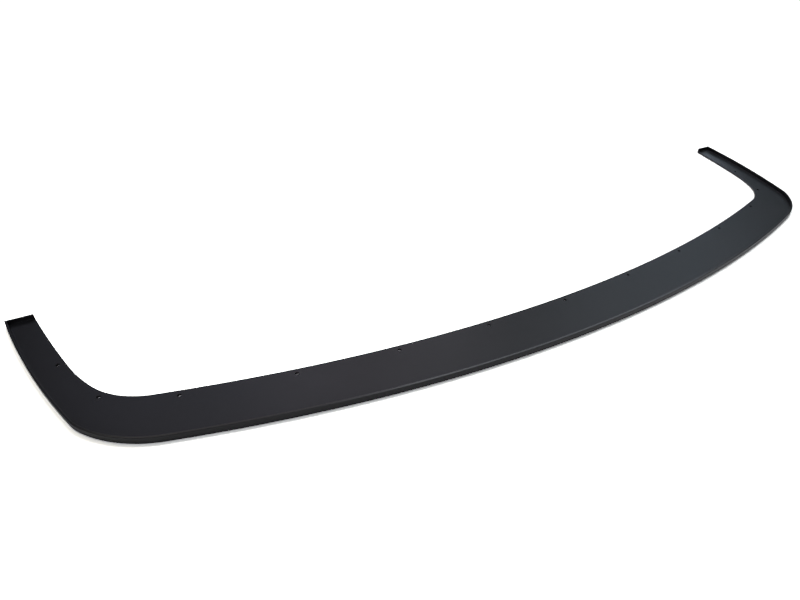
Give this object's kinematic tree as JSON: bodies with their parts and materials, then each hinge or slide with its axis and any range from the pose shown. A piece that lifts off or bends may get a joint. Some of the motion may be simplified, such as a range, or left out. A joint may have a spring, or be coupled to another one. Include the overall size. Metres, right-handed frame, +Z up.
{
  "type": "front splitter lip",
  "caption": "One-piece moulded front splitter lip for a car: a flat curved plate with swept-back legs, a low upright rim along its outer edge and screw holes beside its inner edge.",
  "frame": {"origin": "middle of the part's box, on the plane of the plate's underside", "axes": "+X across the car, towards the right leg as seen from the front; +Y from the front edge back along the legs; +Z up, out of the plate's top face; the front faces -Y"},
  "size_m": [1.648, 0.44, 0.012],
  "materials": {
    "lip": "satin black"
  },
  "bodies": {
    "root": {"splitter_lip": "lip"}
  },
  "joints": []
}
